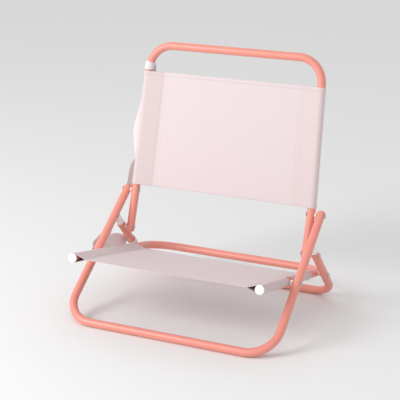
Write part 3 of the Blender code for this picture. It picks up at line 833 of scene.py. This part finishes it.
def sleeve_section(seam_inset):
    """One sleeve's middle line, from its hidden edge round the tube to the seam: distances
    inboard of the tube's centre and heights above the panel's middle."""
    lift = CLOTH / 2 + 0.00005
    start = math.acos(SLEEVE_RADIUS / seam_inset)
    hidden = [(seam_inset + SEAM_ALLOWANCE, -lift), (seam_inset + 0.0015, -lift)]
    hidden += [(seam_inset, -lift)]
    turn = [2 * math.pi - start - (2 * math.pi - 2 * start) * i / 24 for i in range(25)]
    wrap = [(SLEEVE_RADIUS * math.cos(a), SLEEVE_RADIUS * math.sin(a)) for a in turn]
    seam = (seam_inset, lift)
    runs = 7
    under = [np.array(hidden[-1]) + (np.array(wrap[0]) - hidden[-1]) * i / runs for i in range(1, runs)]
    over = [np.array(wrap[-1]) + (np.array(seam) - wrap[-1]) * i / runs for i in range(1, runs)]
    return np.array(hidden + under + wrap + over + [seam])


def sling_rows(length, notch):
    """Distances along a sling of its rows, close together at the hems and the notch."""
    edge = [0.0, 0.0004, 0.0022, HEM - 0.0003, HEM, HEM + 0.0006]
    rows = edge + [length - value for value in edge]
    rows += list(np.linspace(HEM + 0.003, length - HEM - 0.003, round(length / 0.0042)))
    if notch:
        rows = [v for v in rows if not notch[0] - 0.003 < v < notch[1] + 0.003]
        rows += [notch[0], notch[0] - 0.0008, notch[1], notch[1] + 0.0008]
        rows += list(np.linspace(*notch, 6)[1:-1])
    return np.array(sorted(rows))


PANEL_COLUMNS = 64
NOTCH_CORNER = (0.0060, 0.0036, 0.0021, 0.0011, 0.0004)
SEAM_DIMPLE = 0.0003            # a seam pulls the cloth in by this much
SEAM_REACH = 0.0014
PUCKER = 0.00035
PUCKER_REACH = 0.011
PUCKER_LENGTH = 0.013


def sling(name, node, start, along, length, half_widths, seam_inset, sag, notch=None):
    """A panel of cloth with a sleeve round the tube at each side and a hem at each end."""
    across = at(0.0, (-along[1], along[0]))
    rows = sling_rows(length, notch)
    sleeve = sleeve_section(seam_inset)
    inner = np.linspace(-1.0, 1.0, PANEL_COLUMNS + 1)
    share = 1.0 - SEAM_REACH / half_widths[0]
    panel = np.sort(np.concatenate([inner[1:-1], [-share, share]]))
    sleeves = len(sleeve)
    columns = 2 * sleeves + len(panel)
    points = np.zeros((len(rows), columns, 3))
    # painted shade: the sleeve points take the darker colour in full (1.0), the seam lines a little less
    # (0.6)
    painted_shade = np.zeros((len(rows), columns))
    for i, v in enumerate(rows):
        half = half_widths[0] + (half_widths[1] - half_widths[0]) * v / length
        edge = half - seam_inset
        sides = [(-1, j, sleeve[j]) for j in range(sleeves)]
        sides += [(1, columns - 1 - j, sleeve[j]) for j in range(sleeves)]
        base = at(0.0, start + along * v)
        for side, j, (inboard, height) in sides:
            points[i, j] = base + Vector((side * (half - inboard), 0, 0)) + across * height
            painted_shade[i, j] = 1.0
        middle = 1.0 - (2.0 * v / length - 1.0) ** 2
        for k, f in enumerate(panel):
            x, to_seam = f * edge, (1 - abs(f)) * edge
            height = CLOTH / 2 + 0.00005 - sag * (1 - f * f) * (0.35 + 0.65 * middle)
            ripple = math.sin(2 * math.pi * v / PUCKER_LENGTH + math.sin(37 * v) + (f > 0))
            height -= PUCKER * math.exp(-to_seam / PUCKER_REACH) * (0.5 + 0.5 * ripple)
            points[i, sleeves + k] = base + Vector((x, 0, 0)) + across * height
        for j in (sleeves - 1, columns - sleeves):
            points[i, j] -= np.array(across) * SEAM_DIMPLE
            painted_shade[i, j] = 0.6
    keep = np.ones((len(rows) - 1, columns - 1), bool)
    if notch:
        open_notch(points, keep, rows, notch, sleeve, columns, np.array(at(0.0, along)))
    hem = np.minimum(rows, length - rows)
    rise = np.where(hem < HEM + 1e-6, HEM_RISE, 0.0)
    thin = np.where(hem < 1e-6, 0.35, 1.0)
    outside = np.repeat(((CLOTH / 2 + rise) * thin)[:, None], columns, 1)
    inside = np.repeat((CLOTH / 2 * thin)[:, None], columns, 1)
    cloth, skin, normals = cloth_shell(
        name, points, outside, inside, painted_shade, keep, PAINTS[SLOT_OF[node]]
    )
    stand_in(cloth, node)
    width = float(np.linalg.norm(np.diff(points[len(rows) // 2], axis=0), axis=1).sum())
    return cloth, skin, normals, (width, length), sleeves


def open_notch(points, keep, rows, notch, sleeve, columns, along):
    """Leave the sleeves' outer sides open between the notch's rows, with rounded corners."""
    bare = np.nonzero(sleeve[:, 0] < NOTCH_REACH)[0]
    first, last = int(bare[0]), int(bare[-1])
    low, high = (int(np.argmin(abs(rows - v))) for v in notch)
    keep[low:high, first:last] = False
    keep[low:high, columns - 1 - last:columns - 1 - first] = False
    for step, pull in enumerate(NOTCH_CORNER):
        for j in {first + step, last - step}:
            for column in (j, columns - 1 - j):
                for row, sign in ((low, 1), (high, -1)):
                    points[row, column] += along * pull * sign
                    points[row - sign, column] += along * pull * sign


def add_slings():
    """Both slings with their seams and hems sewn."""
    foot = BACK_KINK + BACK_UPPER * BACK_SLING_FOOT
    top = foot + BACK_UPPER * BACK_SLING_HEIGHT
    pivot_at = SEAT_FRONT_REACH - SEAT_SLING_START
    notch = (pivot_at - NOTCH_LENGTH / 2, pivot_at + NOTCH_LENGTH / 2)
    made = (
        ("back_panel", "back_sling", "back_tube", foot, BACK_UPPER, BACK_SLING_HEIGHT,
         (back_half_width(foot), back_half_width(top)), BACK_SEAM_INSET, 0.0015, None),
        ("seat_panel", "seat_sling", "seat_tube", SEAT_FACE + SEAT * SEAT_SLING_START, SEAT,
         SEAT_SLING_LENGTH, (INNER_HALF_WIDTH, INNER_HALF_WIDTH), SEAT_SEAM_INSET, 0.0035, notch),
    )
    for name, node, tube, start, along, length, half_widths, inset, sag, gap in made:
        cloth, skin, normals, flat, sleeves = sling(
            name, node, start, along, length, half_widths, inset, sag, gap
        )
        columns = skin.shape[1]
        lines = [
            (skin[3:-3, j], normals[3:-3, j])
            for j in (sleeves - 2, sleeves + 1, columns - sleeves + 1, columns - sleeves - 2)
        ]
        lines += [
            (skin[i, sleeves // 2:-sleeves // 2], normals[i, sleeves // 2:-sleeves // 2])
            for i in (3, -4)
        ]
        add_stitches(f"{name}_stitching", lines, BODY_OF[node])


# ---- strap ---------------------------------------------------------------------------------------------
# Middle line of the strap, from behind the top of the left back tube, down outside the
# legs to a fold beside the seat, and back to the rear leg: x, y, z, the angle in degrees
# that its width is turned from level towards the side plane, and its share of full width.
STRAP_ROUTE = (
    (-0.2180, 0.1850, 0.5270, 0, 0.60),
    (-0.2205, 0.1825, 0.5000, 0, 0.80),
    (-0.2226, 0.1735, 0.4560, 0, 1.0),
    (-0.2285, 0.1650, 0.4190, 0, 1.0),
    (-0.2400, 0.1545, 0.3690, 8, 1.0),
    (-0.2426, 0.1495, 0.3360, 30, 1.0),
    (-0.2450, 0.1410, 0.3030, 62, 1.0),
    (-0.2500, 0.1345, 0.2780, 88, 1.0),
    (-0.2567, 0.1355, 0.2360, 95, 1.0),
    (-0.2635, 0.1240, 0.2163, 92, 1.0),
    (-0.2635, 0.0890, 0.1905, 90, 1.0),
    (-0.2660, 0.0523, 0.1599, 90, 1.0),
    (-0.2700, 0.0360, 0.1390, 90, 1.0),
    (-0.2785, 0.0120, 0.1210, 86, 1.0),
    (-0.2825, -0.0080, 0.1120, 84, 1.0),
    (-0.2795, -0.0185, 0.1095, 84, 1.0),
    (-0.2755, -0.0110, 0.1100, 76, 1.0),
    (-0.2740, 0.0150, 0.1115, 60, 1.0),
    (-0.2700, 0.0480, 0.1110, 52, 1.0),
    (-0.2665, 0.0800, 0.1060, 56, 1.0),
    (-0.2640, 0.1060, 0.0960, 78, 0.85),
    (-0.2632, 0.1200, 0.0900, 85, 0.62),
)
STRAP_STEPS = 6                 # stretches between two points of the route
STRAP_COLUMNS = (-1.0, -0.97, -0.9, -0.6, -0.3, 0.0, 0.3, 0.6, 0.9, 0.97, 1.0)


def smooth_point(route, place):
    """Values of the Catmull-Rom curve through a route's rows of numbers."""
    i = min(int(place), len(route) - 2)
    t = place - i
    rows = [route[min(max(i + k, 0), len(route) - 1)] for k in (-1, 0, 1, 2)]
    return [
        0.5 * (
            2 * b
            + (c - a) * t
            + (2 * a - 5 * b + 4 * c - d) * t**2
            + (3 * b - 3 * c + d - a) * t**3
        )
        for a, b, c, d in zip(*rows)
    ]


def strap_breadth(tangent, degrees, before):
    """Direction of the strap's width, kept in step with the row before it."""
    side_plane = tangent.cross(Vector((1.0, 0.0, 0.0)))
    if before and side_plane.length < 0.5:
        return (before - tangent * before.dot(tangent)).normalized()
    level = side_plane.cross(tangent).normalized()
    angle = math.radians(degrees)
    breadth = level * math.cos(angle) + side_plane.normalized() * math.sin(angle)
    return -breadth if before and breadth.dot(before) < 0.0 else breadth


def add_strap():
    """Flat webbing from its upper loop to its lower one, hanging outside the left legs."""
    count = STRAP_STEPS * (len(STRAP_ROUTE) - 1)
    rows = [smooth_point(STRAP_ROUTE, i / STRAP_STEPS) for i in range(count + 1)]
    middles = [Vector(row[:3]) for row in rows]
    points = np.zeros((count + 1, len(STRAP_COLUMNS), 3))
    breadth = None
    for i, (middle, row) in enumerate(zip(middles, rows)):
        a, b = middles[max(i - 1, 0)], middles[min(i + 1, count)]
        tangent = (b - a).normalized()
        breadth = strap_breadth(tangent, row[3], breadth)
        for j, share in enumerate(STRAP_COLUMNS):
            points[i, j] = middle + breadth * (share * row[4] * STRAP_WIDTH / 2)
    thick = np.array([0.15 if abs(c) == 1 else 0.7 if abs(c) > 0.95 else 1.0 for c in STRAP_COLUMNS])
    half = np.tile(thick * STRAP_THICKNESS / 2, (count + 1, 1))
    keep = np.ones((count, len(STRAP_COLUMNS) - 1), bool)
    strap, _, _ = cloth_shell(
        "shoulder_strap", points, half, half, np.zeros(half.shape), keep, PAINTS["strap_webbing"]
    )
    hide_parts("carry_strap")
    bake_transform(strap)


LOOP_TURN = 400.0               # degrees that the webbing wraps, with its end overlapping
LOOP_STEPS = 66
LOOP_ROWS = 11                  # across the webbing's width
LOOP_LAP_START = 330.0          # where the end begins to climb over the first turn
LOOP_LAP_CLIMB = 40.0
LOOP_LAP_GAP = 0.0001
LOOP_EDGE_SHARE = 0.4           # of the thickness, left at the webbing's two ends
LOOP_CLEARANCE = 0.0004


def add_loop(name, node, path, place, towards):
    """The strap's end sewn round a tube, its overlap on the side named by a direction."""
    middle = distance_along(path, place)
    stretch = sub_path(path, middle - STRAP_LOOP_WIDTH / 2, middle + STRAP_LOOP_WIDTH / 2)
    steps = [(b - a).length for a, b in zip(stretch, stretch[1:])]
    lengths = np.concatenate([[0.0], np.cumsum(steps)])
    line = [
        Vector([np.interp(share * lengths[-1], lengths, [p[c] for p in stretch]) for c in range(3)])
        for share in np.linspace(0.0, 1.0, LOOP_ROWS)
    ]
    frames = path_frames(line, Vector(towards))
    points = np.zeros((len(line), LOOP_STEPS + 1, 3))
    for i, (point, normal, binormal) in enumerate(frames):
        for j in range(LOOP_STEPS + 1):
            wrapped = LOOP_TURN * j / LOOP_STEPS
            turned_by = math.radians(wrapped - (LOOP_TURN - 360) / 2)
            lap = min(max((wrapped - LOOP_LAP_START) / LOOP_LAP_CLIMB, 0.0), 1.0)
            radius = TUBE_RADIUS + LOOP_CLEARANCE + STRAP_THICKNESS / 2
            radius += lap * (STRAP_THICKNESS + LOOP_LAP_GAP)
            spoke = normal * math.cos(turned_by) + binormal * math.sin(turned_by)
            points[i, j] = point + spoke * radius
    half = np.full(points.shape[:2], STRAP_THICKNESS / 2)
    half[0] *= LOOP_EDGE_SHARE
    half[-1] *= LOOP_EDGE_SHARE
    keep = np.ones((len(line) - 1, LOOP_STEPS), bool)
    # painted shade: the whole loop takes the darker painted-shade colour
    loop, _, _ = cloth_shell(
        name, points, half, half, np.ones(half.shape), keep, PAINTS["strap_webbing"]
    )
    stand_in(loop, node)


def add_loops():
    collar_side = BACK_TOP - BACK_UPPER * COLLAR_DROP
    collar = at(-back_half_width(collar_side), collar_side)
    add_loop("strap_top_loop", "strap_upper_loop", BACK_PATH, collar, (0.0, 1.0, 0.0))
    loop_side = LINK_PIVOT + REAR_LEG * LOWER_LOOP_REACH
    lower = at(-rear_half_width(loop_side), loop_side)
    add_loop("strap_bottom_loop", "strap_lower_loop", REAR_LEG_PATH, lower, (-1.0, 0.0, 0.0))


# ---- surroundings ----------------------------------------------------------------------------------------
def add_camera():
    camera = bpy.data.objects.new("camera", bpy.data.cameras.new("camera"))
    camera.data.lens = CAMERA_LENS
    azimuth, elevation = math.radians(CAMERA_AZIMUTH), math.radians(CAMERA_ELEVATION)
    back = Vector((
        math.sin(azimuth) * math.cos(elevation),
        -math.cos(azimuth) * math.cos(elevation),
        math.sin(elevation),
    ))
    camera.location = CAMERA_AIM + back * CAMERA_DISTANCE
    camera.rotation_euler = back.to_track_quat("Z", "Y").to_euler()
    bpy.context.scene.collection.objects.link(camera)
    bpy.context.scene.camera = camera


def add_floor():
    bm = bmesh.new()
    bmesh.ops.create_grid(bm, x_segments=1, y_segments=1, size=FLOOR_SIZE / 2)
    paint, tree, shader = new_material("studio_floor_paint", Specular_IOR_Level=0.2, Roughness=0.7)
    shade = noise(tree, object_coordinates(tree), 0.6)
    plug_in(
        tree, shader.inputs["Base Color"],
        mix_color(tree, shade, color(0.83, 0.83, 0.83), color(0.85, 0.85, 0.85)),
    )
    floor = object_from(bm, "studio_floor", paint)


def add_lights():
    world = bpy.data.worlds.new("studio")
    bpy.context.scene.world = world
    world.use_nodes = True
    background = world.node_tree.nodes["Background"]
    background.inputs["Color"].default_value = color(1.0, 1.0, 1.0)
    background.inputs["Strength"].default_value = WORLD_LIGHT
    key = bpy.data.lights.new("key", "AREA")
    key.shape = "DISK"
    key.size = KEY_SIZE
    key.energy = KEY_POWER
    lamp = bpy.data.objects.new("key", key)
    lamp.location = KEY_PLACE
    lamp.rotation_euler = (KEY_PLACE - CAMERA_AIM).to_track_quat("Z", "Y").to_euler()
    bpy.context.scene.collection.objects.link(lamp)


add_camera()
add_floor()
add_lights()
bpy.context.scene.view_settings.view_transform = "Standard"
add_frames()
add_hardware()
add_slings()
add_strap()
add_loops()
